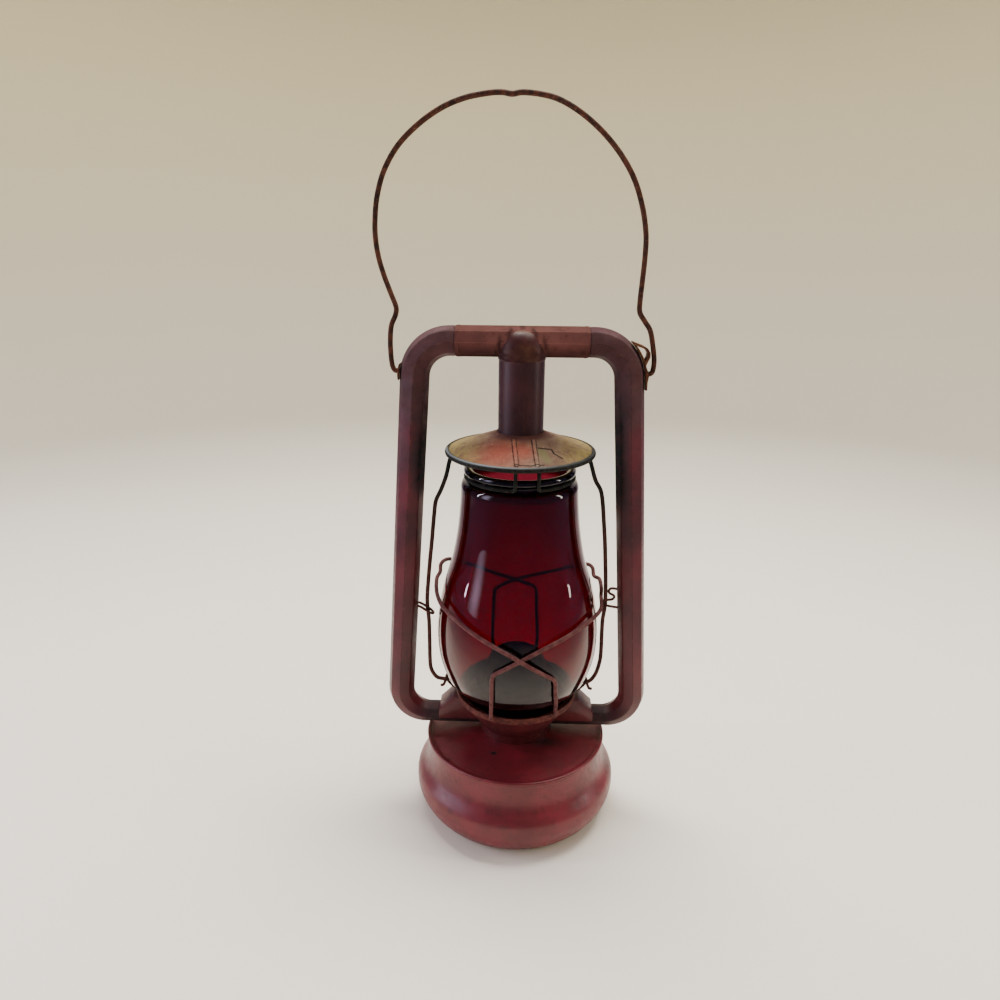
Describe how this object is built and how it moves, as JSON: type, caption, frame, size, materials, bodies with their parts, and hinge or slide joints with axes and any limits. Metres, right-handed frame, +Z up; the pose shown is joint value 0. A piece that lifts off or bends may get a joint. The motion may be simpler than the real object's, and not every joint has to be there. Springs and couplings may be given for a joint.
{
  "type": "kerosene lantern",
  "caption": "Tubular hot-blast kerosene lantern: red frame and fount, ruby glass globe in a wire guard, conical canopy and wire carrying bail.",
  "frame": {"origin": "centre of the foot, on the surface that the lantern stands on", "axes": "+Z up, +X to the lantern's right-hand tube seen from the front, front towards -Y"},
  "size_m": [0.1822, 0.1422, 0.4708],
  "materials": {
    "red_enamel": "worn maroon enamel, semi-gloss, scuffed and soot-marked",
    "burnt_canopy": "enamel burnt to tan and copper rust, matt",
    "strap_iron": "weathered sheet steel strap with light rust",
    "rusty_wire": "dark rusted iron wire, matt",
    "guard_iron": "red-brown rusted iron wire, matt",
    "sooty_steel": "heat-darkened sheet steel",
    "burner_brass": "dull stained brass",
    "cork_gasket": "pressed fibre gasket",
    "wick_cotton": "woven flat cotton wick",
    "ruby_glass": "deep ruby blown glass, glossy"
  },
  "bodies": {
    "root": {"fount_side": "red_enamel", "fount_top": "red_enamel", "fount_bottom": "red_enamel", "filler_neck": "red_enamel", "air_chamber": "red_enamel", "left_side_tube": "red_enamel", "right_side_tube": "red_enamel", "top_crossbar": "red_enamel", "centre_tube": "red_enamel", "left_ear": "strap_iron", "right_ear": "strap_iron", "left_guide": "rusty_wire", "right_guide": "rusty_wire", "burner_collar": "burner_brass", "burner_body": "burner_brass", "burner_cone": "sooty_steel", "wick_tube": "burner_brass"},
    "lift": {"canopy": "burnt_canopy", "canopy_rim_wire": "rusty_wire", "lift_wire_left": "rusty_wire", "lift_wire_right": "rusty_wire", "globe_plate": "sooty_steel", "left_plate_loop": "rusty_wire", "right_plate_loop": "rusty_wire", "globe": "ruby_glass", "neck_ring": "rusty_wire", "guard_wire_right": "guard_iron", "guard_wire_left": "guard_iron"},
    "bail": {"bail": "rusty_wire"},
    "wick": {"wick": "wick_cotton"},
    "knob": {"raiser_shaft": "sooty_steel", "wick_spurs": "sooty_steel", "wick_knob": "burner_brass"},
    "cap_rise": {"filler_gasket": "cork_gasket"},
    "cap": {"filler_cap": "red_enamel"}
  },
  "joints": [
    {"name": "bail_swing", "type": "hinge", "parent": "root", "child": "bail", "pos_m": [0, 0, 0.314], "axis": [1, 0, 0], "range_deg": [-150, 150]},
    {"name": "globe_lift", "type": "slide", "parent": "root", "child": "lift", "axis": [0, 0, 1], "range_m": [0, 0.025]},
    {"name": "wick_turn", "type": "hinge", "parent": "root", "child": "knob", "pos_m": [0.00575, 0, 0.074], "axis": [0, 1, 0], "range_deg": [-127, 76]},
    {"name": "wick_rise", "type": "slide", "parent": "root", "child": "wick", "axis": [0, 0, 1], "range_m": [-0.01, 0.006]},
    {"name": "cap_rise", "type": "slide", "parent": "root", "child": "cap_rise", "axis": [0, 0, 1], "range_m": [0, 0.004]},
    {"name": "cap_turn", "type": "hinge", "parent": "cap_rise", "child": "cap", "pos_m": [-0.03253, 0.03253, 0.066], "axis": [0, 0, 1], "range_deg": [0, 720]}
  ],
  "couplings": [
    {"joint": "wick_rise", "follows": "wick_turn", "m_per_rad": 0.0045},
    {"joint": "cap_rise", "follows": "cap_turn", "m_per_rad": 0.000318}
  ]
}
